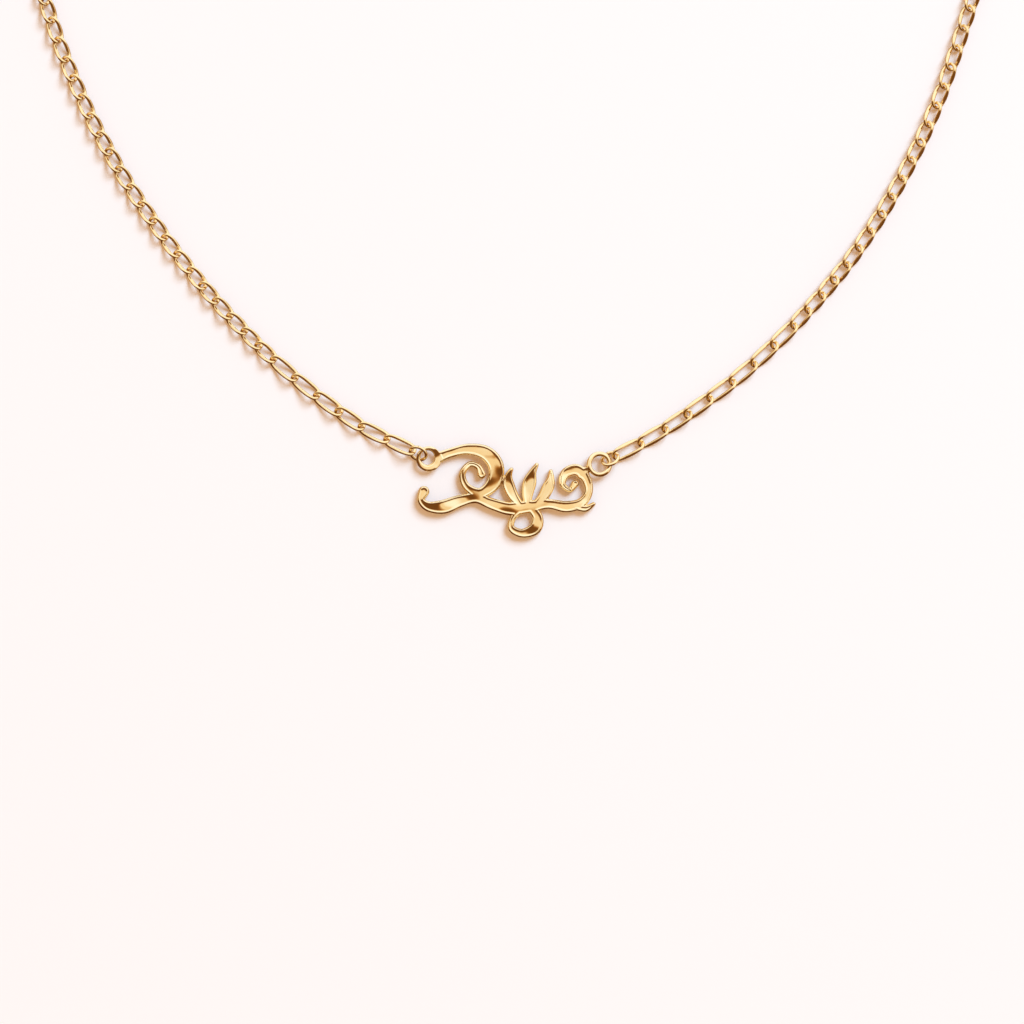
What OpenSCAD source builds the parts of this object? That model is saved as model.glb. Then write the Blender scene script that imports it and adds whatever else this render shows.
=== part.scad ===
// Nameplate necklace, laid flat as a closed loop.
// Millimetres, +Z up. The origin is on the flat back of the plate, and +Y runs from the plate to the clasp.

/* [Chain] */
// Length of a link over its ends
link_l = 3.85; // [3.6:0.05:4.2]
// Length of the longer links beside the plate
front_link_l = 4.85; // [4.4:0.05:5.4]
// Width of a link over its wires, before it leans
link_w = 2.1; // [2.1:0.05:2.6]
// Thickness of the chain wire
wire_d = 0.38; // [0.34:0.01:0.42]
// Height by which each link end clears the neighbour that it lies across
link_lift = 0.1; // [0.1:0.01:0.16]
// Space left between two link ends that pull on each other
link_play = 0.22; // [0.18:0.01:0.3]
// Mean slack of a joint, by which the next link is pushed in
link_slack = 0.12; // [0.08:0.01:0.16]
// How far the joints wander to either side of the route
sway = 0.04; // [0:0.01:0.06]

/* [Plate] */
// Distance between the centres of the eye and of the ring
plate_l = 23.2; // [20:0.1:28]
// Height of the scrollwork, from the drop to the top of the big scroll
plate_h = 12.6; // [10:0.1:15]
// Thickness of the plate
plate_t = 1.2; // [1.1:0.05:1.5]
// Width of the thickest stroke
stroke_w = 2.15; // [1.9:0.05:2.3]
// Width of the rounding along the edges of the face
edge_r = 0.3; // [0.1:0.01:0.35]

/* [Eye and ring] */
// Diameter of the hole in the eye
eye_hole_d = 1.92; // [1.8:0.02:2.2]
// Outer diameter of the eye
eye_d = 3.4; // [3.2:0.05:4]
// Thickness of the eye, flush with the face of the plate
eye_t = 0.4; // [0.36:0.02:0.44]
// Outer diameter of the ring at the plate's tip
ring_d = 3.46; // [3.3:0.02:4]
// Thickness of that ring's wire
ring_wire_d = 0.66; // [0.6:0.02:0.7]

/* [Connecting rings] */
// Outer diameter of a connecting ring
jump_d = 2.7; // [2.6:0.05:3.2]
// Thickness of its wire
jump_wire_d = 0.44; // [0.36:0.01:0.5]
// How far a connecting ring leans over
jump_lean = 46; // [44:1:50]
// Space between the left ring and the wall of the eye
eye_play = 0.5; // [0.46:0.01:0.54]
// Space between the right ring and the wire of the plate's ring
ring_play = 0.35; // [0.3:0.01:0.4]
// How far the first link of each half climbs into its connecting ring
jump_lift = 0.3; // [0.2:0.05:0.4]

/* [Clasp] */
// Outer diameter of the spring ring
clasp_d = 5.5; // [5:0.1:7]
// Thickness of its tube
clasp_tube_d = 1.1; // [1:0.05:1.3]
// Slope of the clasp, ear end down
clasp_slope = 5; // [4:0.5:6]
// Outer diameter of its ear
ear_d = 2.7; // [2.6:0.05:3.2]
// Thickness of the ear's wire
ear_wire_d = 0.5; // [0.4:0.01:0.55]
// How far the ear leans over
ear_lean = 42; // [40:1:50]
// Length of the trigger that stands out from the tube
trigger_l = 0.7; // [0.5:0.05:1]
// Outer diameter of the ring that the clasp hooks into
end_ring_d = 4.2; // [4.1:0.05:5]
// Thickness of its wire
end_ring_wire_d = 0.5; // [0.44:0.01:0.55]
// How far that ring leans over
end_ring_lean = 42; // [40:1:46]
// Space between that ring and the tube of the clasp
clasp_play = 0.8; // [0.6:0.05:0.9]
// How far the last link of the left half climbs into the ear
ear_lift = 0.15; // [0:0.05:0.3]
// How far the last link of the right half climbs into the end ring
end_lift = 0.9; // [0.7:0.05:1]

/* [Hidden] */
$fn = 48;

gold = [0.93, 0.72, 0.36];
pale_gold = [0.95, 0.78, 0.45];

// A link's bends lean opposite ways, so each end lifts over one neighbour and dips under the other.
// The rails between them are drawn a little thinner, and their ends are sunk into the bends.
link_r = (link_w - wire_d) / 2;
lean_rise = 2 * (wire_d + link_lift);
link_lean = asin(lean_rise / (2 * link_r));
rail_d = 0.9 * wire_d;
rail_seat = wire_d / 22;
link_z = (lean_rise + wire_d) / 2;

// The connecting rings rest on the floor and hang from the walls of the eye and of the ring.
jump_r = (jump_d - jump_wire_d) / 2;
jump_z = jump_r * sin(jump_lean) + jump_wire_d / 2;
ring_r = (ring_d - ring_wire_d) / 2;
eye_at = [-0.4625 * plate_l, 0.347 * plate_h];
eye_wall = 0.38 * (eye_d - eye_hole_d);
eye_turn = 156;
ring_at = [0.5375 * plate_l, 0.2754 * plate_h];
ring_turn = 27;

// The clasp lies on the end ring, and its ear takes the last link of the left half.
clasp_at = [0, 160];
end_ring_r = (end_ring_d - end_ring_wire_d) / 2;
end_ring_z = end_ring_r * sin(end_ring_lean) + end_ring_wire_d / 2;
clasp_z = end_ring_z - end_ring_wire_d / 5;
clasp_r = (clasp_d - clasp_tube_d) / 2;
ear_r = (ear_d - ear_wire_d) / 2;
ear_x = clasp_d / 2 + ear_r + ear_wire_d / 2;
neck_d = 0.8 * ear_wire_d;
trigger_turn = 60;

// The walls that the four ends of the chain hang from.
eye_hook = eye_at + (eye_hole_d + eye_wall) / 2 * [cos(eye_turn), sin(eye_turn)];
ring_hook = ring_at + ring_r * [cos(ring_turn), sin(ring_turn)];
ear_hook = clasp_at - [(ear_x + ear_r) * cos(clasp_slope), 0];
clasp_hook = clasp_at + [clasp_r * cos(clasp_slope), 0];

// Route of each half of the chain from the plate to the clasp, its points chosen by hand.
left_points = [
    [-17.2, 7.3], [-21.9, 10.0], [-30.4, 16.6], [-38.1, 24.2], [-45.0, 32.5], [-51.2, 41.4],
    [-56.4, 50.8], [-60.5, 60.6], [-63.6, 70.5], [-65.9, 81.0], [-66.6, 92.0], [-65.4, 103.5],
    [-62.0, 115.0], [-56.3, 127.0], [-47.5, 139.0], [-36.0, 149.0],
    clasp_at - [22.5, 4.0], clasp_at - [10.0, 0.7]
];
right_points = [
    [18.7, 6.7], [23.3, 9.5], [32.0, 15.9], [39.8, 23.4], [46.7, 31.6], [52.5, 40.7],
    [57.3, 50.4], [61.0, 60.6], [63.9, 70.5], [66.0, 81.0], [66.6, 92.0], [65.4, 103.5],
    [62.0, 115.0], [56.3, 127.0], [47.5, 139.0], [36.0, 149.0],
    clasp_at + [22.5, -4.0], clasp_at + [10.0, -0.7]
];
route_steps = 10;

// How slack each joint lies, as shares of the loosest one, and how far it wanders, as shares of sway.
slack_rhythm = [0.1, 0.3, 1, 0.15, 0.35, 0.1, 0.7, 0.2];
sway_rhythm = [0.2, -0.8, 0.5, -0.3, 0.9, -0.6, 0.1];
// How many of the longer links each half starts with.
left_long_links = 6;
right_long_links = 8;
// The last joint of each half has little slack, because the last link climbs.
last_share = 0.25;

function curve(p, i, t) = let (
        a = p[max(i - 1, 0)], b = p[i], c = p[i + 1], d = p[min(i + 2, len(p) - 1)]
    ) 0.5 * (2 * b + (c - a) * t + (2 * a - 5 * b + 4 * c - d) * t * t
        + (3 * b - a - 3 * c + d) * t * t * t);
function smooth(p, n) = [
    for (i = [0:len(p) - 2], k = [0:n - 1]) curve(p, i, k / n),
    p[len(p) - 1]
];
function sum(v, i = 0) = i >= len(v) ? 0 : v[i] + sum(v, i + 1);
function last(v) = v[len(v) - 1];
function unit(v) = v / norm(v);
function heading(v) = atan2(v.y, v.x);

// A route is a list of [distance along it, point].
function measured(q) = [
    for (i = 0, s = 0; i < len(q); s = s + (i + 1 < len(q) ? norm(q[i + 1] - q[i]) : 0), i = i + 1)
        [s, q[i]]
];
function route(from, points, to) = measured(smooth(concat([from], points, [to]), route_steps));
function span(r) = last(r)[0];
function along(r, s) =
    s < 0 ? r[0][1] + s * unit(r[1][1] - r[0][1]) :
    s > span(r) ? last(r)[1] + (s - span(r)) * unit(last(r)[1] - r[len(r) - 2][1]) :
    [lookup(s, [for (k = r) [k[0], k[1].x]]), lookup(s, [for (k = r) [k[0], k[1].y]])];

left_route = route(eye_hook, left_points, ear_hook);
right_route = route(ring_hook, right_points, clasp_hook);

// Where the hanging rings sit along the routes, and where the first and last link ends go.
function hang(wall, wire, play) = (wall + wire) / 2 + play;
function hook_link(wire) = (wire + wire_d) / 2 + link_play;
left_jump_s = jump_r - hang(eye_wall, jump_wire_d, eye_play);
right_jump_s = jump_r - hang(ring_wire_d, jump_wire_d, ring_play);
end_ring_s = span(right_route) + hang(clasp_tube_d, end_ring_wire_d, clasp_play) - end_ring_r;
left_from = left_jump_s + jump_r - hook_link(jump_wire_d);
left_to = span(left_route) + hook_link(ear_wire_d);
right_from = right_jump_s + jump_r - hook_link(jump_wire_d);
right_to = end_ring_s - end_ring_r + hook_link(end_ring_wire_d);

// How far apart the ends of a link are, and how far on the next link starts where the joint is taut.
function run_of(i, longs) = (i < longs ? front_link_l : link_l) - wire_d;
function taut_pitch(i, longs) = run_of(i, longs) - wire_d - link_play;

// The distance along the route at which each link starts.
function link_count(from, to, longs) = let (
        shorts = to - from - run_of(longs, longs) - longs * (front_link_l - link_l)
    ) round(shorts / (taut_pitch(longs, longs) - link_slack)) + 1;
function slackness(n) = [
    for (i = [0:n - 2]) i == n - 2 ? last_share : slack_rhythm[i % len(slack_rhythm)]
];
function starts(from, to, longs) = let (
        n = link_count(from, to, longs),
        w = slackness(n),
        taut = [for (i = [0:n - 2]) taut_pitch(i, longs)],
        loosest = (sum(taut) - (to - from - run_of(n - 1, longs))) / sum(w)
    ) [for (i = 0, s = from; i < n; s = s + (i < n - 1 ? taut[i] - loosest * w[i] : 0), i = i + 1) s];

module wire_ring(r, d) {
    rotate_extrude() translate([r, 0]) circle(d = d);
}

module bend() {
    rotate([0, 0, -90]) rotate_extrude(angle = 180) translate([link_r, 0]) circle(d = wire_d);
}

module rail(bend_x, slope) {
    rotate([0, 90 + slope, 0])
        cylinder(d = rail_d, h = 2 * (bend_x / cos(slope) + rail_seat), center = true);
}

module link(run) {
    bend_x = run / 2 - link_r;
    slope = atan2(lean_rise, 2 * bend_x);
    side = link_r * cos(link_lean);
    translate([bend_x, 0, 0]) rotate([-link_lean, 0, 0]) bend();
    rotate([0, 0, 180]) translate([bend_x, 0, 0]) rotate([-link_lean, 0, 0]) bend();
    translate([0, side, 0]) rail(bend_x, slope);
    translate([0, -side, 0]) mirror([0, 0, 1]) rail(bend_x, slope);
}

// The first and last links tilt, so that their outer ends climb by the two lifts.
module chain(r, from, to, longs, first_lift, last_lift) {
    s = starts(from, to, longs);
    for (i = [0:len(s) - 1]) {
        run = run_of(i, longs);
        a = along(r, s[i]);
        b = along(r, s[i] + run);
        out = [-unit(b - a).y, unit(b - a).x];
        wander = sway * sway_rhythm[i % len(sway_rhythm)];
        next = sway * sway_rhythm[(i + 1) % len(sway_rhythm)];
        p = a + (i == 0 ? 0 : wander) * out;
        q = b + (i == len(s) - 1 ? 0 : next) * out;
        low = i == 0 ? first_lift : 0;
        high = i == len(s) - 1 ? last_lift : 0;
        translate([(p.x + q.x) / 2, (p.y + q.y) / 2, link_z + (low + high) / 2])
            rotate([0, 0, heading(q - p)]) rotate([0, asin((low - high) / run), 0]) link(run);
    }
}

// A ring that hangs on a route with its near or far wall held, leaning over by an angle.
module hanging_ring(r, s, radius, wire, z, lean) {
    p = along(r, s);
    ahead = along(r, s + radius) - along(r, s - radius);
    translate([p.x, p.y, z]) rotate([0, 0, heading(ahead)]) rotate([lean, 0, 0]) wire_ring(radius, wire);
}

// Strokes of the scrollwork. Each row is [x, y, width], in hundredths of plate_l, plate_h and stroke_w.
big_scroll = [
    [-39.2, 35, 68], [-33, 39.5, 60], [-23, 43.5, 70], [-12.5, 39.5, 92], [-6.5, 26, 100],
    [-7.5, 8, 90], [-15, -3, 66], [-23.3, 3, 50], [-26, 17, 42], [-21.8, 27.5, 38], [-16.8, 25, 38],
    [-14.8, 16.5, 50]
];
vine = [
    [-48.3, -1.6, 66], [-50, -11, 47], [-45.3, -18, 66], [-36.6, -18, 90], [-27.6, -12, 79],
    [-18, -8.7, 63], [-8.6, -15, 74], [1.7, -20, 84], [13, -18, 79], [24, -15, 63], [34.5, -18, 74],
    [43, -14, 63], [47.4, -2.4, 53], [46, 12, 63], [40.5, 21.4, 74], [34, 17.5, 63],
    [32.3, 6.3, 42], [36.6, 0, 32], [39.7, 7, 47]
];
left_leaf = [[8.6, -17, 37], [3.9, -7, 66], [0.9, 5.5, 76], [0.9, 15, 47], [2.6, 22, 24]];
middle_leaf = [[12, -17, 37], [12, -5, 68], [13.3, 8.7, 84], [15, 19, 47], [17.3, 27, 24]];
right_leaf = [[15.5, -17, 37], [20.7, -8, 63], [24.2, 4, 74], [25.5, 12.7, 45], [25.5, 20, 24]];
drop = [
    [8.6, -20.6, 42], [3.4, -30, 39], [2.6, -41, 47], [9, -46.4, 58], [16.4, -41, 79],
    [17.7, -29, 68], [13.8, -20, 47]
];
tip_leaf = [[40, -17.5, 47], [45.7, -20, 42], [50.4, -15, 24]];
ring_neck = [[43.2, 16.4, 60], [45.2, 19.8, 54], [47, 22.6, 42]];
STROKES = [big_scroll, vine, left_leaf, middle_leaf, right_leaf, drop, tip_leaf, ring_neck];
stroke_steps = 5;
// The round end of a stroke is this much wider than the stroke, so that the two cross cleanly.
end_bulge = 1.04;

// Steps of the rounded edge, as shares of edge_r: [depth below the face, inset].
face_steps = [[1, 0], [0.45, 0.15], [0, 0.55]];

// How far the cut of the eye's hole runs past the plate on either side.
cut_over = 0.5;

function sized(rows) = [
    for (k = rows) [k[0] * plate_l / 100, k[1] * plate_h / 100, k[2] * stroke_w / 100]
];
function flat(k) = [k.x, k.y];
function sides(q, way) = [
    for (i = [0:len(q) - 1]) let (
        t = unit(flat(q[min(i + 1, len(q) - 1)] - q[max(i - 1, 0)]))
    ) flat(q[i]) + way * q[i].z / 2 * [-t.y, t.x]
];
function reversed(v) = [for (i = [len(v) - 1:-1:0]) v[i]];

module stroke(rows) {
    q = smooth(sized(rows), stroke_steps);
    polygon(concat(sides(q, 1), reversed(sides(q, -1))));
    for (end = [q[0], last(q)]) translate(flat(end)) circle(d = end_bulge * end.z, $fn = 24);
}

module scrollwork() {
    for (i = [0:len(face_steps) - 1]) {
        top = plate_t - face_steps[i][0] * edge_r;
        bottom = i == 0 ? 0 : plate_t - face_steps[i - 1][0] * edge_r;
        translate([0, 0, bottom]) linear_extrude(top - bottom)
            offset(delta = -face_steps[i][1] * edge_r) for (rows = STROKES) stroke(rows);
    }
}

module eye_hole() {
    translate([eye_at.x, eye_at.y, -cut_over])
        cylinder(d = eye_hole_d, h = plate_t + 2 * cut_over);
}

module nameplate() {
    shift = (eye_d - eye_hole_d) / 2 - eye_wall;
    color(gold) difference() {
        union() {
            scrollwork();
            translate([eye_at.x + shift, eye_at.y - shift, plate_t - eye_t])
                cylinder(d = eye_d, h = eye_t);
            translate([ring_at.x, ring_at.y, jump_z]) wire_ring(ring_r, ring_wire_d);
        }
        eye_hole();
    }
}

module jump_ring_left() {
    color(pale_gold) hanging_ring(left_route, left_jump_s, jump_r, jump_wire_d, jump_z, -jump_lean);
}

module jump_ring_right() {
    color(pale_gold) hanging_ring(right_route, right_jump_s, jump_r, jump_wire_d, jump_z, -jump_lean);
}

module chain_left() {
    color(gold) chain(left_route, left_from, left_to, left_long_links, jump_lift, ear_lift);
}

module chain_right() {
    color(gold) chain(right_route, right_from, right_to, right_long_links, jump_lift, end_lift);
}

module clasp() {
    color(pale_gold) translate([clasp_at.x, clasp_at.y, clasp_z]) rotate([0, -clasp_slope, 0]) {
        wire_ring(clasp_r, clasp_tube_d);
        translate([-ear_x, 0, 0]) rotate([ear_lean, 0, 0]) wire_ring(ear_r, ear_wire_d);
        translate([ear_r - ear_x, 0, 0]) rotate([0, 90, 0])
            cylinder(d = neck_d, h = ear_x - ear_r - clasp_r);
        rotate([0, 0, trigger_turn]) translate([clasp_r, 0, 0]) rotate([0, 90, 0])
            cylinder(d = clasp_tube_d / 2, h = clasp_tube_d / 2 + trigger_l);
    }
}

module end_ring() {
    color(pale_gold)
        hanging_ring(right_route, end_ring_s, end_ring_r, end_ring_wire_d, end_ring_z, end_ring_lean);
}

nameplate();
jump_ring_left();
jump_ring_right();
chain_left();
chain_right();
clasp();
end_ring();
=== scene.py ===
"""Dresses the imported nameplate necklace: polished plate, twisted links, rings, clasp and the stage.

Everything is in metres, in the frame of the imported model: +Z up, +Y from the plate to the clasp.
"""

import math

import bmesh
import bpy
from mathutils import Matrix, Vector


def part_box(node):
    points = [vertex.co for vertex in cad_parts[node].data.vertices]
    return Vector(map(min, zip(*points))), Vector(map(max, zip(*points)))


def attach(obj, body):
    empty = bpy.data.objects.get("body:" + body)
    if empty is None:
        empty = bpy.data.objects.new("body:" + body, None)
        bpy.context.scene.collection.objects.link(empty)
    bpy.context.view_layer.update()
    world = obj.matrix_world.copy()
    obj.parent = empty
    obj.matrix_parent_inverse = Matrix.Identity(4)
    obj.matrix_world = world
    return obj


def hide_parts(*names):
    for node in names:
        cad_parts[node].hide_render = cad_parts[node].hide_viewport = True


bl_info = {
    "name": "Nameplate Necklace",
    "version": (1, 0, 0),
    "blender": (4, 5, 0),
    "location": "3D View > Sidebar > Necklace",
    "description": "Builds a polished gold necklace around its packed model",
    "category": "Add Mesh",
}

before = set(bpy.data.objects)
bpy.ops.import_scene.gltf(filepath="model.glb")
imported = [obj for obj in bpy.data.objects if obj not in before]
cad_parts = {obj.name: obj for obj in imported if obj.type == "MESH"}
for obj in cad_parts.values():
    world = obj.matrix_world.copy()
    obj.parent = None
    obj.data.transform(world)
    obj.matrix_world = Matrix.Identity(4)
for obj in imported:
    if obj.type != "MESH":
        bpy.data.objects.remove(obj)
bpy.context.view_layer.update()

MM = 0.001
ROOT = "root"
WHOLE_TURN = 2 * math.pi


# ---------------------------------------------------------------- settings

class NecklacePlateSettings(bpy.types.PropertyGroup):
    grain: bpy.props.FloatProperty(
        name="Mesh Grain", description="Edge length of the plate's remeshed surface",
        default=0.065 * MM, min=0.05 * MM, max=0.2 * MM,
        subtype="DISTANCE", unit="LENGTH", precision=6)
    thickness: bpy.props.FloatProperty(
        name="Plate Thickness", description="Height of the plate's face above its back",
        default=1.2 * MM, min=1.1 * MM, max=1.5 * MM,
        subtype="DISTANCE", unit="LENGTH", precision=6)
    rim: bpy.props.FloatProperty(
        name="Rim Width", description="Width of the raised rim that runs along the strokes",
        default=0.1 * MM, min=0.05 * MM, max=0.3 * MM,
        subtype="DISTANCE", unit="LENGTH", precision=6)
    hollow: bpy.props.FloatProperty(
        name="Face Depth", description="How far the polished face lies below its rim",
        default=0.12 * MM, min=0, max=0.3 * MM,
        subtype="DISTANCE", unit="LENGTH", precision=6)
    rounding: bpy.props.IntProperty(
        name="Edge Rounding", description="Smoothing passes that round the plate's edges",
        default=5, min=0, max=40)
    colour: bpy.props.StringProperty(
        name="Plate Gold", description="Colour of the plate's gold, as a hex value",
        default="FCE2B0")


class NecklaceChainSettings(bpy.types.PropertyGroup):
    link_length: bpy.props.FloatProperty(
        name="Link Length", description="Length of a link over its ends",
        default=3.85 * MM, min=3.6 * MM, max=4.2 * MM,
        subtype="DISTANCE", unit="LENGTH", precision=6)
    front_length: bpy.props.FloatProperty(
        name="Front Link Length", description="Length of the longer links beside the plate",
        default=4.85 * MM, min=4.4 * MM, max=5.4 * MM,
        subtype="DISTANCE", unit="LENGTH", precision=6)
    link_width: bpy.props.FloatProperty(
        name="Link Width", description="Width of a link over its wires, before it leans",
        default=2.1 * MM, min=2 * MM, max=2.6 * MM,
        subtype="DISTANCE", unit="LENGTH", precision=6)
    belly: bpy.props.FloatProperty(
        name="Link Belly", description="How far the long sides of a link bow outwards",
        default=0.04 * MM, min=0, max=0.2 * MM,
        subtype="DISTANCE", unit="LENGTH", precision=6)
    wire: bpy.props.FloatProperty(
        name="Chain Wire", description="Thickness of the chain's wire",
        default=0.4 * MM, min=0.34 * MM, max=0.42 * MM,
        subtype="DISTANCE", unit="LENGTH", precision=6)
    lift: bpy.props.FloatProperty(
        name="Link Lift", description="Height by which each link end clears its neighbour",
        default=0.08 * MM, min=0.05 * MM, max=0.16 * MM,
        subtype="DISTANCE", unit="LENGTH", precision=6)
    flattening: bpy.props.FloatProperty(
        name="Link Flattening", description="Share by which the wire of a link is rolled wider",
        default=0.25, min=0, max=0.5)
    colour: bpy.props.StringProperty(
        name="Chain Gold", description="Colour of the chain's gold, as a hex value",
        default="FCDEA6")


class NecklaceRingSettings(bpy.types.PropertyGroup):
    jump_wire: bpy.props.FloatProperty(
        name="Connecting Ring Wire", description="Thickness of a connecting ring's wire",
        default=0.44 * MM, min=0.36 * MM, max=0.5 * MM,
        subtype="DISTANCE", unit="LENGTH", precision=6)
    jump_diameter: bpy.props.FloatProperty(
        name="Connecting Ring", description="Outer diameter of a connecting ring",
        default=2.7 * MM, min=2.6 * MM, max=3.2 * MM,
        subtype="DISTANCE", unit="LENGTH", precision=6)
    end_wire: bpy.props.FloatProperty(
        name="End Ring Wire", description="Thickness of the end ring's wire",
        default=0.5 * MM, min=0.44 * MM, max=0.55 * MM,
        subtype="DISTANCE", unit="LENGTH", precision=6)
    end_diameter: bpy.props.FloatProperty(
        name="End Ring", description="Outer diameter of the ring that the clasp hooks into",
        default=4.2 * MM, min=4.1 * MM, max=5 * MM,
        subtype="DISTANCE", unit="LENGTH", precision=6)
    colour: bpy.props.StringProperty(
        name="Ring Gold", description="Colour of the rings and the clasp, as a hex value",
        default="FCE0AC")


class NecklaceClaspSettings(bpy.types.PropertyGroup):
    diameter: bpy.props.FloatProperty(
        name="Clasp Diameter", description="Outer diameter of the spring ring",
        default=5.5 * MM, min=5 * MM, max=7 * MM,
        subtype="DISTANCE", unit="LENGTH", precision=6)
    tube: bpy.props.FloatProperty(
        name="Clasp Tube", description="Thickness of the spring ring's tube",
        default=1.1 * MM, min=1 * MM, max=1.3 * MM,
        subtype="DISTANCE", unit="LENGTH", precision=6)
    bolt: bpy.props.FloatProperty(
        name="Clasp Bolt", description="Thickness of the bolt that slides in the tube",
        default=0.76 * MM, min=0.6 * MM, max=1 * MM,
        subtype="DISTANCE", unit="LENGTH", precision=6)
    ear_diameter: bpy.props.FloatProperty(
        name="Clasp Ear", description="Outer diameter of the ear",
        default=2.7 * MM, min=2.6 * MM, max=3.2 * MM,
        subtype="DISTANCE", unit="LENGTH", precision=6)
    ear_wire: bpy.props.FloatProperty(
        name="Ear Wire", description="Thickness of the ear's wire",
        default=0.5 * MM, min=0.4 * MM, max=0.55 * MM,
        subtype="DISTANCE", unit="LENGTH", precision=6)
    height: bpy.props.FloatProperty(
        name="Clasp Height", description="Height of the middle of the spring ring",
        default=1.388 * MM, min=1 * MM, max=2 * MM,
        subtype="DISTANCE", unit="LENGTH", precision=6)
    slope: bpy.props.FloatProperty(
        name="Clasp Slope", description="Slope of the clasp, ear end down",
        default=math.radians(5), min=0, max=math.radians(8), subtype="ANGLE")
    ear_lean: bpy.props.FloatProperty(
        name="Ear Lean", description="How far the ear leans over",
        default=math.radians(42), min=0, max=math.radians(60), subtype="ANGLE")


class NecklaceStageSettings(bpy.types.PropertyGroup):
    floor_colour: bpy.props.StringProperty(
        name="Floor Colour", description="Colour of the paper under the necklace, as a hex value",
        default="F9F8F9")
    key_power: bpy.props.FloatProperty(
        name="Key Light", description="Power of the main light",
        default=152, min=0, max=500, unit="POWER")
    fill_strength: bpy.props.FloatProperty(
        name="Fill Strength", description="Strength of the light from all round",
        default=1.0, min=0, max=5)
    view_height: bpy.props.FloatProperty(
        name="Camera Height", description="Height of the camera above the necklace",
        default=0.7, min=0.3, max=3, subtype="DISTANCE", unit="LENGTH")
    view_width: bpy.props.FloatProperty(
        name="View Width", description="Width of the floor that the camera sees",
        default=138.24 * MM, min=0.05, max=1, subtype="DISTANCE", unit="LENGTH")


# ---------------------------------------------------------------- materials

def linear(hex_value):
    """The scene-linear colour, with alpha, of an sRGB hex value."""
    channels = [int(hex_value[i:i + 2], 16) / 255 for i in (0, 2, 4)]
    return [c / 12.92 if c <= 0.04045 else ((c + 0.055) / 1.055) ** 2.4 for c in channels] + [1.0]


def add_node(tree, kind, inputs=None, **settings):
    """Adds a node, sets its settings, and fills or links its inputs."""
    node = tree.nodes.new(kind)
    for name, value in settings.items():
        setattr(node, name, value)
    for key, value in (inputs or {}).items():
        if isinstance(value, bpy.types.NodeSocket):
            tree.links.new(value, node.inputs[key])
        else:
            node.inputs[key].default_value = value
    return node


# Hairlines are about 0.01 mm wide. They are drawn 0.12 mm wide, so that they show.
HAIRLINE_LENGTH = 0.85 * MM
HAIRLINE_SLIMNESS = 7
HAIRLINE_TURN = 0.6
HEAT_PATCH = 5 * MM
# Noise rarely leaves this part of its range, so it is stretched from here.
NOISE_LOW, NOISE_HIGH = 0.3, 0.7
BRIGHT_SHARE, HAZY_SHARE = 0.7, 1.5
COOL_SHADE = 0.93


def polished_gold(name, colour, wave_length, wave_height, roughness):
    """Gold plate over silver, cast or drawn and then buffed to a mirror.

    Buffing leaves the metal mirror bright, but the wheel dips into it: slow waves bend the
    reflections, and fine hairlines blur them a little more in some places than in others.
    """
    material = bpy.data.materials.new(name)
    material.use_nodes = True
    tree = material.node_tree
    shader = tree.nodes["Principled BSDF"]
    where = add_node(tree, "ShaderNodeTexCoord").outputs["Object"]
    waves = add_node(tree, "ShaderNodeTexNoise", {
        "Vector": where, "Scale": 1 / wave_length, "Detail": 1.0, "Roughness": 0.4})
    dents = add_node(tree, "ShaderNodeBump", {
        "Height": waves.outputs["Fac"], "Strength": 1.0, "Distance": wave_height})
    along = add_node(tree, "ShaderNodeMapping", {
        "Vector": where, "Rotation": (0, 0, HAIRLINE_TURN), "Scale": (1, HAIRLINE_SLIMNESS, 1)})
    hairlines = add_node(tree, "ShaderNodeTexNoise", {
        "Vector": along.outputs["Vector"], "Scale": 1 / HAIRLINE_LENGTH,
        "Detail": 2.0, "Roughness": 0.6})
    buffing = add_node(tree, "ShaderNodeMapRange", {
        "Value": hairlines.outputs["Fac"], "From Min": NOISE_LOW, "From Max": NOISE_HIGH,
        "To Min": BRIGHT_SHARE * roughness, "To Max": HAZY_SHARE * roughness})
    # The gold is a little paler where the wheel has run hot.
    heat = add_node(tree, "ShaderNodeTexNoise", {
        "Vector": where, "Scale": 1 / HEAT_PATCH, "Detail": 0.0})
    shades = add_node(tree, "ShaderNodeValToRGB", {"Fac": heat.outputs["Fac"]})
    cool, warm = shades.color_ramp.elements
    cool.position = NOISE_LOW
    cool.color = [COOL_SHADE * c for c in linear(colour)[:3]] + [1]
    warm.position = NOISE_HIGH
    warm.color = linear(colour)
    tree.links.new(shades.outputs["Color"], shader.inputs["Base Color"])
    tree.links.new(buffing.outputs["Result"], shader.inputs["Roughness"])
    tree.links.new(dents.outputs["Normal"], shader.inputs["Normal"])
    shader.inputs["Metallic"].default_value = 1.0
    return material


def matt_paper(name, colour):
    """Smooth uncoated paper: a plain matt sheet with no sheen of its own."""
    material = bpy.data.materials.new(name)
    material.use_nodes = True
    shader = material.node_tree.nodes["Principled BSDF"]
    shader.inputs["Base Color"].default_value = linear(colour)
    shader.inputs["Roughness"].default_value = 0.9
    shader.inputs["Specular IOR Level"].default_value = 0.1
    return material


# ---------------------------------------------------------------- helpers

MERGE_WITHIN = 0.0002 * MM
# Turned by the points' spread again and again, any direction ends up along the longest one.
FIRST_GUESS = Vector((1, 0.3, 0.2))
GUESSES = 200


def new_piece(name, bm, material, slot, *replaced):
    """Makes a finished piece of a bmesh, which rides on the necklace's one body."""
    mesh = bpy.data.meshes.new(name)
    bm.to_mesh(mesh)
    bm.free()
    mesh.materials.append(material)
    mesh.polygons.foreach_set("use_smooth", [True] * len(mesh.polygons))
    piece = bpy.data.objects.new(name, mesh)
    bpy.context.scene.collection.objects.link(piece)
    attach(piece, ROOT)
    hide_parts(*replaced)
    return piece


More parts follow.
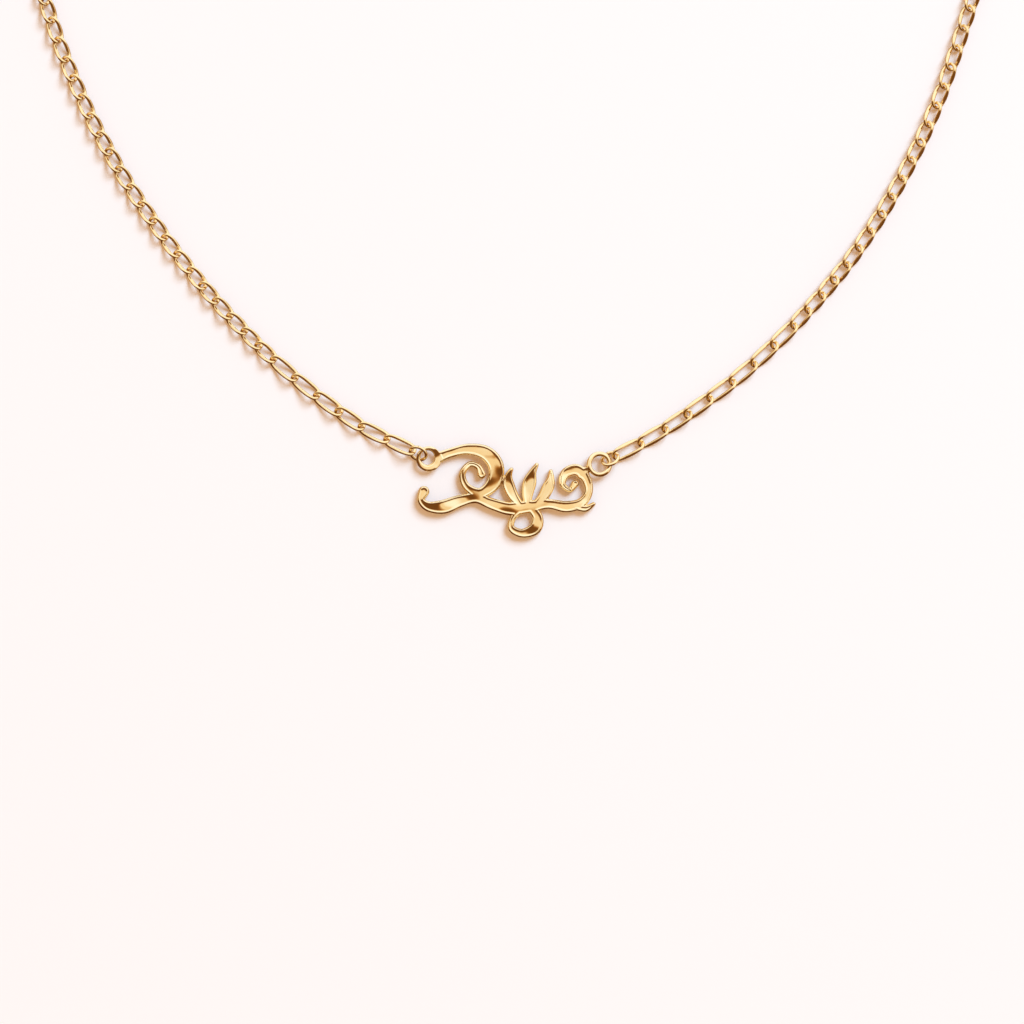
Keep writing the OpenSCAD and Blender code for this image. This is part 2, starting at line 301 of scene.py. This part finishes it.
def apply_modifiers(piece):
    """Puts the piece's modifiers into its mesh."""
    graph = bpy.context.evaluated_depsgraph_get()
    mesh = bpy.data.meshes.new_from_object(piece.evaluated_get(graph))
    piece.modifiers.clear()
    piece.data = mesh


def merged(node):
    """A bmesh of a CAD node with its loose triangles joined up."""
    bm = bmesh.new()
    bm.from_mesh(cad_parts[node].data)
    bmesh.ops.remove_doubles(bm, verts=bm.verts, dist=MERGE_WITHIN)
    return bm


def islands(bm):
    """The groups of vertices that hang together, as lists of positions."""
    seen = set()
    groups = []
    for start in bm.verts:
        if start in seen:
            continue
        seen.add(start)
        group = [start]
        for vert in group:
            for edge in vert.link_edges:
                other = edge.other_vert(vert)
                if other not in seen:
                    seen.add(other)
                    group.append(other)
        groups.append([vert.co.copy() for vert in group])
    return groups


def main_directions(points):
    """The three main directions of a group of points, longest first."""
    centre = sum(points, Vector()) / len(points)
    sums = Matrix(((0,) * 3,) * 3)
    for point in points:
        arm = (point - centre) / MM
        for row in range(3):
            sums[row] += arm[row] * arm
    directions = []
    for _ in range(2):
        direction = FIRST_GUESS
        for _ in range(GUESSES):
            direction = (sums @ direction).normalized()
        directions.append(direction)
        strength = direction.dot(sums @ direction)
        for row in range(3):
            sums[row] -= strength * direction[row] * direction
    directions.append(directions[0].cross(directions[1]))
    return directions


def middle(points, directions):
    """The middle of a group of points along three directions at right angles."""
    centre = Vector()
    for direction in directions:
        reach = [point.dot(direction) for point in points]
        centre += direction * (min(reach) + max(reach)) / 2
    return centre


def placed(centre, x_axis, z_axis):
    """The matrix that puts a piece's X and Z axes along two directions at a place."""
    y_axis = z_axis.cross(x_axis).normalized()
    z_axis = x_axis.cross(y_axis).normalized()
    turn = Matrix((x_axis.normalized(), y_axis, z_axis)).transposed()
    return Matrix.Translation(centre) @ turn.to_4x4()


def bent_wire(bm, radius, wire, angle, steps, sides, start=0.0):
    """Spins a wire round the Z axis, and gives its vertices. A part turn has open ends."""
    circle = bmesh.ops.create_circle(bm, segments=sides, radius=wire / 2)["verts"]
    bmesh.ops.rotate(bm, verts=circle, matrix=Matrix.Rotation(math.pi / 2, 3, "X"))
    bmesh.ops.translate(bm, verts=circle, vec=(radius, 0, 0))
    bmesh.ops.rotate(bm, verts=circle, matrix=Matrix.Rotation(start, 3, "Z"))
    count = len(bm.verts)
    edges = list({edge for vert in circle for edge in vert.link_edges})
    bmesh.ops.spin(bm, geom=circle + edges, cent=(0, 0, 0), axis=(0, 0, 1), angle=angle,
                   steps=steps, use_merge=angle == WHOLE_TURN, use_duplicate=False)
    bm.verts.ensure_lookup_table()
    return bm.verts[count - sides:]


def open_edges(verts):
    """The edges of a group of vertices that have a face on one side only."""
    return [edge for edge in {edge for vert in verts for edge in vert.link_edges}
            if edge.is_boundary]


# ---------------------------------------------------------------- plate

EYE_AT = Vector((-10.73, 4.37)) * MM
EYE_REACH = 1.9 * MM
# The eye is round like a wire: its edge falls away, up to where it runs into the plate's stroke.
EYE_EDGE = 0.2 * MM
EYE_DROP = 0.16 * MM
EYE_END = 1.1 * MM
# A face whose normal rises this much looks up, and it is the plate's own within this height.
LOOKS_UP = 0.999
FACE_WITHIN = 0.01 * MM


def upper_faces(bm, height):
    """The faces that look up at a height, as those of the eye and those of the rest."""
    eye, rest = [], []
    for face in bm.faces:
        centre = face.calc_center_median()
        if face.normal.z > LOOKS_UP and abs(centre.z - height) < FACE_WITHIN:
            (eye if (centre.xy - EYE_AT).length < EYE_REACH else rest).append(face)
    return eye, rest


class NECKLACE_OT_plate(bpy.types.Operator):
    """Build the pierced plate with its rounded edges, and the eye and ring that are part of it"""
    bl_idname = "necklace.plate"
    bl_label = "Plate"

    def execute(self, context):
        size = context.scene.necklace_plate
        # Cast silver, gold plated and buffed flat: a mirror that the wheel has left wavy.
        gold = polished_gold("cast_plate_gold", size.colour,
                             wave_length=3.9 * MM, wave_height=1.25 * MM, roughness=0.07)
        bm = merged("nameplate")
        rest = upper_faces(bm, size.thickness)[1]
        for depth in (0, -size.hollow):
            bmesh.ops.inset_region(bm, faces=rest, thickness=size.rim, depth=depth,
                                   use_even_offset=False)
        eye = upper_faces(bm, size.thickness)[0]
        border = bmesh.ops.inset_region(bm, faces=eye, thickness=EYE_EDGE,
                                        use_even_offset=False)["faces"]
        crown = {vert for face in eye for vert in face.verts}
        edge = [vert for vert in {vert for face in border for vert in face.verts} - crown
                if vert.co.x < EYE_AT.x + EYE_END]
        bmesh.ops.translate(bm, verts=edge, vec=(0, 0, -EYE_DROP))
        plate = new_piece("scrollwork_plate", bm, gold, "gold", "nameplate")
        remesh = plate.modifiers.new("Cast Skin", "REMESH")
        remesh.mode = "VOXEL"
        remesh.voxel_size = size.grain
        remesh.use_smooth_shade = True
        tumble = plate.modifiers.new("Tumbled Edges", "SMOOTH")
        tumble.factor = 0.5
        tumble.iterations = size.rounding
        apply_modifiers(plate)
        return {"FINISHED"}


# ---------------------------------------------------------------- chain

WIRE_SIDES = 6
BEND_STEPS = 6
RAIL_CUTS = 3
# Subdividing draws a six sided wire in to this share of its radius.
WIRE_DRAW_IN = 0.87
# What lies within this share of a link's straight run bows out, and the bends beyond it don't.
RAIL_SHARE = 0.95


def twisted_link(size, length):
    """A mesh of one link, whose two ends lean opposite ways to pass through its neighbours."""
    bm = bmesh.new()
    bend = (size.link_width - size.wire) / 2
    reach = (length - size.wire) / 2 - bend
    lean = math.asin((size.wire + size.lift) / bend)
    for turn in (0, math.pi):
        verts = bent_wire(bm, bend, size.wire / WIRE_DRAW_IN, math.pi, BEND_STEPS, WIRE_SIDES,
                          start=-math.pi / 2)
        for vert in verts:
            vert.co.xy *= 1 + size.flattening * (1 - bend / vert.co.xy.length)
        pose = (Matrix.Rotation(turn, 4, "Z") @ Matrix.Translation((reach, 0, 0))
                @ Matrix.Rotation(-lean, 4, "X"))
        bmesh.ops.transform(bm, verts=verts, matrix=pose)
    for way in (-1, 1):
        ends = [edge for edge in bm.edges
                if edge.is_boundary and way * edge.verts[0].co.y > 0]
        rail = bmesh.ops.bridge_loops(bm, edges=ends)["edges"]
        bmesh.ops.subdivide_edges(bm, edges=rail, cuts=RAIL_CUTS, use_grid_fill=True)
    rail_at = bend * math.cos(lean)
    for vert in bm.verts:
        if abs(vert.co.x) < RAIL_SHARE * reach:
            out = size.belly + size.flattening * (abs(vert.co.y) - rail_at)
            vert.co.y += math.copysign(out, vert.co.y) * (1 - (vert.co.x / reach) ** 2)
    bmesh.ops.recalc_face_normals(bm, faces=bm.faces)
    mesh = bpy.data.meshes.new("link")
    bm.to_mesh(mesh)
    bm.free()
    return mesh


def link_places(node):
    """Where each link of a chain node lies, and how long it is."""
    source = merged(node)
    places = []
    for points in islands(source):
        run = main_directions(points)[0]
        side = Vector((0, 0, 1)).cross(run).normalized()
        up = run.cross(side)
        along = [point.dot(run) for point in points]
        places.append((placed(middle(points, (run, side, up)), run, up), max(along) - min(along)))
    source.free()
    return places


class NECKLACE_OT_chain(bpy.types.Operator):
    """Build both halves of the chain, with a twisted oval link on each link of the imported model"""
    bl_idname = "necklace.chain"
    bl_label = "Chain"

    def execute(self, context):
        size = context.scene.necklace_chain
        # Drawn silver wire, gold plated and tumbled: bright, with a softer shine than the plate's.
        gold = polished_gold("drawn_wire_gold", size.colour,
                             wave_length=1.1 * MM, wave_height=0.05 * MM, roughness=0.13)
        longer_than = (size.link_length + size.front_length) / 2
        link = twisted_link(size, size.link_length)
        front_link = twisted_link(size, size.front_length)
        for side in ("left", "right"):
            bm = bmesh.new()
            for place, length in link_places("chain_" + side):
                count = len(bm.verts)
                bm.from_mesh(front_link if length > longer_than else link)
                bm.verts.ensure_lookup_table()
                bmesh.ops.transform(bm, verts=bm.verts[count:], matrix=place)
            chain = new_piece("links_" + side, bm, gold, "chain_gold", "chain_" + side)
            rounding = chain.modifiers.new("Round Wire", "SUBSURF")
            rounding.levels = rounding.render_levels = 1
        for mesh in (link, front_link):
            bpy.data.meshes.remove(mesh)
        return {"FINISHED"}


# ---------------------------------------------------------------- rings

RING_STEPS = 40
RING_SIDES = 12
BUTT_GAP = math.radians(1.5)
# How far round each ring its cut lies, in radians, so that no neighbour rests on it.
LEFT_CUT = 1.2
RIGHT_CUT = 1.9
END_CUT = 1.4


def butted_ring(diameter, wire):
    """A bmesh of a bent wire ring whose two cut ends nearly meet."""
    bm = bmesh.new()
    verts = bent_wire(bm, (diameter - wire) / 2, wire, WHOLE_TURN - BUTT_GAP,
                      RING_STEPS, RING_SIDES, start=BUTT_GAP / 2)
    bmesh.ops.holes_fill(bm, edges=open_edges(verts), sides=RING_SIDES)
    bmesh.ops.recalc_face_normals(bm, faces=bm.faces)
    return bm


def ring_place(node, cut_turn):
    """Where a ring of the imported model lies, with its cut turned away by an angle."""
    source = merged(node)
    points = [vert.co.copy() for vert in source.verts]
    source.free()
    directions = main_directions(points)
    centre = (Vector(map(min, zip(*points))) + Vector(map(max, zip(*points)))) / 2
    return placed(centre, directions[0], directions[2]) @ Matrix.Rotation(cut_turn, 4, "Z")


class NECKLACE_OT_rings(bpy.types.Operator):
    """Build the two connecting rings and the ring that the clasp hooks into"""
    bl_idname = "necklace.rings"
    bl_label = "Rings"

    def execute(self, context):
        size = context.scene.necklace_rings
        # Silver wire bent round a rod and cut, then gold plated: smooth, with a narrow shine.
        gold = polished_gold("ring_wire_gold", size.colour,
                             wave_length=1.4 * MM, wave_height=0.03 * MM, roughness=0.1)
        jump, end = (size.jump_diameter, size.jump_wire), (size.end_diameter, size.end_wire)
        for name, node, sizes, cut in (
                ("connecting_ring_left", "jump_ring_left", jump, LEFT_CUT),
                ("connecting_ring_right", "jump_ring_right", jump, RIGHT_CUT),
                ("clasp_ring", "end_ring", end, END_CUT)):
            bm = butted_ring(*sizes)
            bmesh.ops.transform(bm, verts=bm.verts, matrix=ring_place(node, cut))
            new_piece(name, bm, gold, "wire_gold", node)
        return {"FINISHED"}


# ---------------------------------------------------------------- clasp

BOLT_FROM = math.radians(58)
BOLT_TURN = math.radians(44)
# The bolt reaches this share of its gap into each mouth of the tube.
BOLT_HIDDEN = 0.15
TRIGGER_AT = math.radians(60)
TRIGGER_OUT = 0.7 * MM
TUBE_STEPS = 56
TUBE_SIDES = 20
BOLT_STEPS = 14
BOLT_SIDES = 16
BAR_SIDES = 14
# Shares of a thickness: the rounding of a bar and of the tube's mouths, the solder and the trigger.
BAR_ROUNDING = 1 / 8
MOUTH_ROUNDING = 1 / 12
SOLDER_SHARE = 0.8
TRIGGER_SHARE = 0.5


def round_bar(bm, diameter, start, end):
    """Adds a round bar with soft ends between two points."""
    run = end - start
    bar = bmesh.ops.create_cone(bm, cap_ends=True, segments=BAR_SIDES, radius1=diameter / 2,
                                radius2=diameter / 2, depth=run.length)["verts"]
    rims = [edge for edge in {edge for vert in bar for edge in vert.link_edges}
            if any(len(face.verts) == BAR_SIDES for face in edge.link_faces)]
    soft = bmesh.ops.bevel(bm, geom=rims, offset=BAR_ROUNDING * diameter, offset_type="OFFSET",
                           affect="EDGES", segments=2, profile=0.5, material=-1)["verts"]
    verts = list({vert for vert in bar + soft if vert.is_valid})
    turn = Vector((0, 0, 1)).rotation_difference(run).to_matrix().to_4x4()
    bmesh.ops.transform(bm, verts=verts, matrix=Matrix.Translation((start + end) / 2) @ turn)


class NECKLACE_OT_clasp(bpy.types.Operator):
    """Build the spring ring: its tube, the thinner bolt that closes it, the trigger and the ear"""
    bl_idname = "necklace.clasp"
    bl_label = "Clasp"

    def execute(self, context):
        size = context.scene.necklace_clasp
        low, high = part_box("clasp")
        # Rolled silver tube, gold plated: smooth and even, and worn a little dull by fingers.
        gold = polished_gold("clasp_gold", context.scene.necklace_rings.colour,
                             wave_length=2.4 * MM, wave_height=0.02 * MM, roughness=0.14)
        body = (size.diameter - size.tube) / 2
        ear = (size.ear_diameter - size.ear_wire) / 2
        ear_at = -(size.diameter + size.ear_diameter) / 2
        bm = bmesh.new()
        tube = bent_wire(bm, body, size.tube, WHOLE_TURN - BOLT_TURN, TUBE_STEPS, TUBE_SIDES,
                         start=BOLT_FROM + BOLT_TURN)
        mouths = bmesh.ops.holes_fill(bm, edges=open_edges(tube), sides=TUBE_SIDES)["faces"]
        rims = [edge for face in mouths for edge in face.edges]
        bmesh.ops.bevel(bm, geom=rims, offset=MOUTH_ROUNDING * size.tube, offset_type="OFFSET",
                        affect="EDGES", segments=2, profile=0.5, material=-1)
        bolt = bent_wire(bm, body, size.bolt, (1 + 2 * BOLT_HIDDEN) * BOLT_TURN,
                         BOLT_STEPS, BOLT_SIDES, start=BOLT_FROM - BOLT_HIDDEN * BOLT_TURN)
        bmesh.ops.holes_fill(bm, edges=open_edges(bolt), sides=BOLT_SIDES)
        ring = bent_wire(bm, ear, size.ear_wire, WHOLE_TURN, RING_STEPS, RING_SIDES)
        lean = Matrix.Rotation(size.ear_lean, 4, "X")
        bmesh.ops.transform(bm, verts=ring, matrix=Matrix.Translation((ear_at, 0, 0)) @ lean)
        round_bar(bm, SOLDER_SHARE * size.ear_wire,
                  Vector((ear_at + ear, 0, 0)), Vector((-body, 0, 0)))
        out = Vector((math.cos(TRIGGER_AT), math.sin(TRIGGER_AT), 0))
        round_bar(bm, TRIGGER_SHARE * size.tube,
                  body * out, (body + size.tube / 2 + TRIGGER_OUT) * out)
        bmesh.ops.recalc_face_normals(bm, faces=bm.faces)
        place = Matrix.Translation((0, (low.y + high.y) / 2, size.height))
        slope = Matrix.Rotation(-size.slope, 4, "Y")
        bmesh.ops.transform(bm, verts=bm.verts, matrix=place @ slope)
        new_piece("spring_ring", bm, gold, "wire_gold", "clasp")
        return {"FINISHED"}


# ---------------------------------------------------------------- stage

SENSOR = 36.0
CLIP_START = 0.01
VIEW_CENTRE = Vector((0.675 * MM, -2.97 * MM, 0))
FLOOR_HALF = 3.0
KEY_AT = (1.68, 2.04, 2.52)
KEY_TARGET = (0, 0.03, 0)
KEY_SIZE = 1.9
KEY_COLOUR = "BAE2FF"
# The room as the metal shows it, from straight down at 0 to straight up at 1. Below the horizon it is
# a painted reflection: the tan and brown stand in for the shaded paper round the gold.
ROOM_AND_PAINTED_FLOOR_SHADE = ((0.0, "DCC094"), (0.4, "BA8444"), (0.5, "CA9A5C"), (0.57, "F0DAB4"),
               (0.67, "FFFAF2"), (0.92, "FFFCF6"), (0.97, "FFF4E2"), (1.0, "FFEED2"))
# The card from its edge to its core. Its edge is amber, as gold seen in gold is. Above the horizon it
# is a dark card in the room. Below it, it is painted shade: the paper's shadow side as the metal
# would show it.
CARD_AND_PAINTED_FLOOR_SHADE = ((0.0, "FFFFFF"), (0.35, "D4B48C"), (0.7, "A07040"), (1.0, "76502A"))
# Where the middle of each patch of the room lies, and the cosines of its edge and its core.
CARD_AND_FLOOR_SHADE_AT, CARD_AND_FLOOR_SHADE_SPAN = (-0.24, -0.94, 0.22), (0.26, 0.5)
WINDOW_AT, WINDOW_SPAN = (0.28, 0.94, 0.2), (0.28, 0.6)
BOX_AT, BOX_SPAN = (0.46, 0.56, 0.69), (0.95, 0.985)
# These two glow brighter than white, so they can't be hex values.
WINDOW_GLOW = (1.22, 1.3, 1.42, 1)
BOX_GLOW = (1.3, 1.4, 1.6, 1)
# The paper is lit by a warm room, and past the paper's edge the camera sees a plain one.
BOUNCE_COLOUR = "DEB286"
SKY_COLOUR = "F6F0EF"


def area_light(name, place, target, width, height, power, colour):
    """Adds a soft box at a place, facing a target."""
    light = bpy.data.lights.new(name, "AREA")
    light.shape = "RECTANGLE"
    light.size = width
    light.size_y = height
    light.energy = power
    light.color = linear(colour)[:3]
    lamp = bpy.data.objects.new(name, light)
    lamp.location = place
    lamp.rotation_euler = (Vector(target) - Vector(place)).to_track_quat("-Z", "Y").to_euler()
    bpy.context.scene.collection.objects.link(lamp)
    return lamp


def patch(tree, where, centre, span):
    """The mask of a round patch of the room, from 0 at its edge to 1 at its core."""
    edge, core = span
    towards = add_node(tree, "ShaderNodeVectorMath", {0: where, 1: centre},
                       operation="DOT_PRODUCT")
    return add_node(tree, "ShaderNodeMapRange", {
        "Value": towards.outputs["Value"], "From Min": edge, "From Max": core},
        interpolation_type="SMOOTHSTEP").outputs["Result"]


def shaded(tree, share, shades):
    """A colour that runs through places from 0 to 1, each given with its hex value."""
    node = add_node(tree, "ShaderNodeValToRGB", {"Fac": share})
    elements = node.color_ramp.elements
    elements[0].color = linear(shades[0][1])
    elements[1].color = linear(shades[-1][1])
    for position, colour in shades[1:-1]:
        elements.new(position).color = linear(colour)
    return node.outputs["Color"]


def mixed(tree, share, under, over, blend="MIX"):
    """One colour laid over another by a share from 0 to 1."""
    return add_node(tree, "ShaderNodeMix", {"Factor": share, "A": under, "B": over},
                    data_type="RGBA", blend_type=blend).outputs["Result"]


def studio_world(strength):
    """A pale room with a brown card in it, so that the polished metal has something to show. Below
    the horizon the room and the card are a painted reflection of the paper's shade.
    """
    world = bpy.data.worlds.new("studio")
    world.use_nodes = True
    tree = world.node_tree
    backdrop = tree.nodes["Background"]
    where = add_node(tree, "ShaderNodeTexCoord").outputs["Generated"]
    height = add_node(tree, "ShaderNodeSeparateXYZ", {"Vector": where}).outputs["Z"]
    rise = add_node(tree, "ShaderNodeMapRange", {
        "Value": height, "From Min": -1.0, "From Max": 1.0}).outputs["Result"]
    # Painted shade: where the card reaches below the horizon, it stands in for the paper's shadow
    # side in the metal's reflection.
    card_and_floor_shade = shaded(tree, patch(tree, where, CARD_AND_FLOOR_SHADE_AT, CARD_AND_FLOOR_SHADE_SPAN), CARD_AND_PAINTED_FLOOR_SHADE)
    # Painted shade: below the horizon the room's tan and brown stand in for the shaded paper, as the
    # metal would show it.
    room_and_floor_shade = mixed(tree, 1.0, shaded(tree, rise, ROOM_AND_PAINTED_FLOOR_SHADE), card_and_floor_shade, blend="MULTIPLY")
    room_and_floor_shade = mixed(tree, patch(tree, where, WINDOW_AT, WINDOW_SPAN), room_and_floor_shade, WINDOW_GLOW)
    room_and_floor_shade = mixed(tree, patch(tree, where, BOX_AT, BOX_SPAN), room_and_floor_shade, BOX_GLOW)
    rays = add_node(tree, "ShaderNodeLightPath").outputs
    room_and_floor_shade = mixed(tree, rays["Diffuse Depth"], room_and_floor_shade, linear(BOUNCE_COLOUR))
    room_and_floor_shade = mixed(tree, rays["Is Camera Ray"], room_and_floor_shade, linear(SKY_COLOUR))
    tree.links.new(room_and_floor_shade, backdrop.inputs["Color"])
    backdrop.inputs["Strength"].default_value = strength
    return world


class NECKLACE_OT_stage(bpy.types.Operator):
    """Build the paper floor, the studio lights and the camera that looks straight down"""
    bl_idname = "necklace.stage"
    bl_label = "Stage"

    def execute(self, context):
        scene = context.scene
        size = scene.necklace_stage
        bm = bmesh.new()
        bmesh.ops.create_grid(bm, x_segments=1, y_segments=1, size=FLOOR_HALF)
        mesh = bpy.data.meshes.new("paper")
        bm.to_mesh(mesh)
        bm.free()
        mesh.materials.append(matt_paper("white_paper", size.floor_colour))
        floor = bpy.data.objects.new("paper", mesh)
        # The metal shows the studio world below the horizon too, and not the sheet. There the world
        # holds painted shade in the sheet's place.
        floor.visible_glossy = False
        scene.collection.objects.link(floor)

        key = area_light("key", KEY_AT, KEY_TARGET, KEY_SIZE, KEY_SIZE, size.key_power,
                         KEY_COLOUR)
        # The metal shows the soft box of the studio world in the key light's place.
        key.visible_glossy = False
        scene.world = studio_world(size.fill_strength)
        scene.view_settings.view_transform = "Standard"

        lens = bpy.data.cameras.new("camera")
        lens.sensor_width = SENSOR
        lens.lens = SENSOR * size.view_height / size.view_width
        lens.clip_start = CLIP_START
        camera = bpy.data.objects.new("camera", lens)
        camera.location = VIEW_CENTRE + Vector((0, 0, size.view_height))
        scene.collection.objects.link(camera)
        scene.camera = camera
        return {"FINISHED"}


# ---------------------------------------------------------------- add-on

OPERATORS = (NECKLACE_OT_stage, NECKLACE_OT_plate, NECKLACE_OT_chain, NECKLACE_OT_rings,
             NECKLACE_OT_clasp)
SETTINGS = {
    "necklace_plate": NecklacePlateSettings,
    "necklace_chain": NecklaceChainSettings,
    "necklace_rings": NecklaceRingSettings,
    "necklace_clasp": NecklaceClaspSettings,
    "necklace_stage": NecklaceStageSettings,
}


class NECKLACE_PT_sidebar(bpy.types.Panel):
    """Lists the necklace's pieces and their sizes"""
    bl_idname = "NECKLACE_PT_sidebar"
    bl_label = "Nameplate Necklace"
    bl_space_type = "VIEW_3D"
    bl_region_type = "UI"
    bl_category = "Necklace"

    def draw(self, context):
        layout = self.layout
        for operator in OPERATORS:
            layout.operator(operator.bl_idname)
        for name in SETTINGS:
            settings = getattr(context.scene, name)
            column = layout.column(align=True)
            for key in settings.bl_rna.properties.keys():
                if key not in {"rna_type", "name"}:
                    column.prop(settings, key)


def register():
    for group in SETTINGS.values():
        bpy.utils.register_class(group)
    for name, group in SETTINGS.items():
        setattr(bpy.types.Scene, name, bpy.props.PointerProperty(type=group))
    for operator in OPERATORS:
        bpy.utils.register_class(operator)
    bpy.utils.register_class(NECKLACE_PT_sidebar)


def unregister():
    bpy.utils.unregister_class(NECKLACE_PT_sidebar)
    for operator in reversed(OPERATORS):
        bpy.utils.unregister_class(operator)
    for name in SETTINGS:
        delattr(bpy.types.Scene, name)
    for group in reversed(SETTINGS.values()):
        bpy.utils.unregister_class(group)


def main():
    register()
    for operator in OPERATORS:
        group, call = operator.bl_idname.split(".")
        getattr(getattr(bpy.ops, group), call)()


if __name__ == "__main__":
    main()
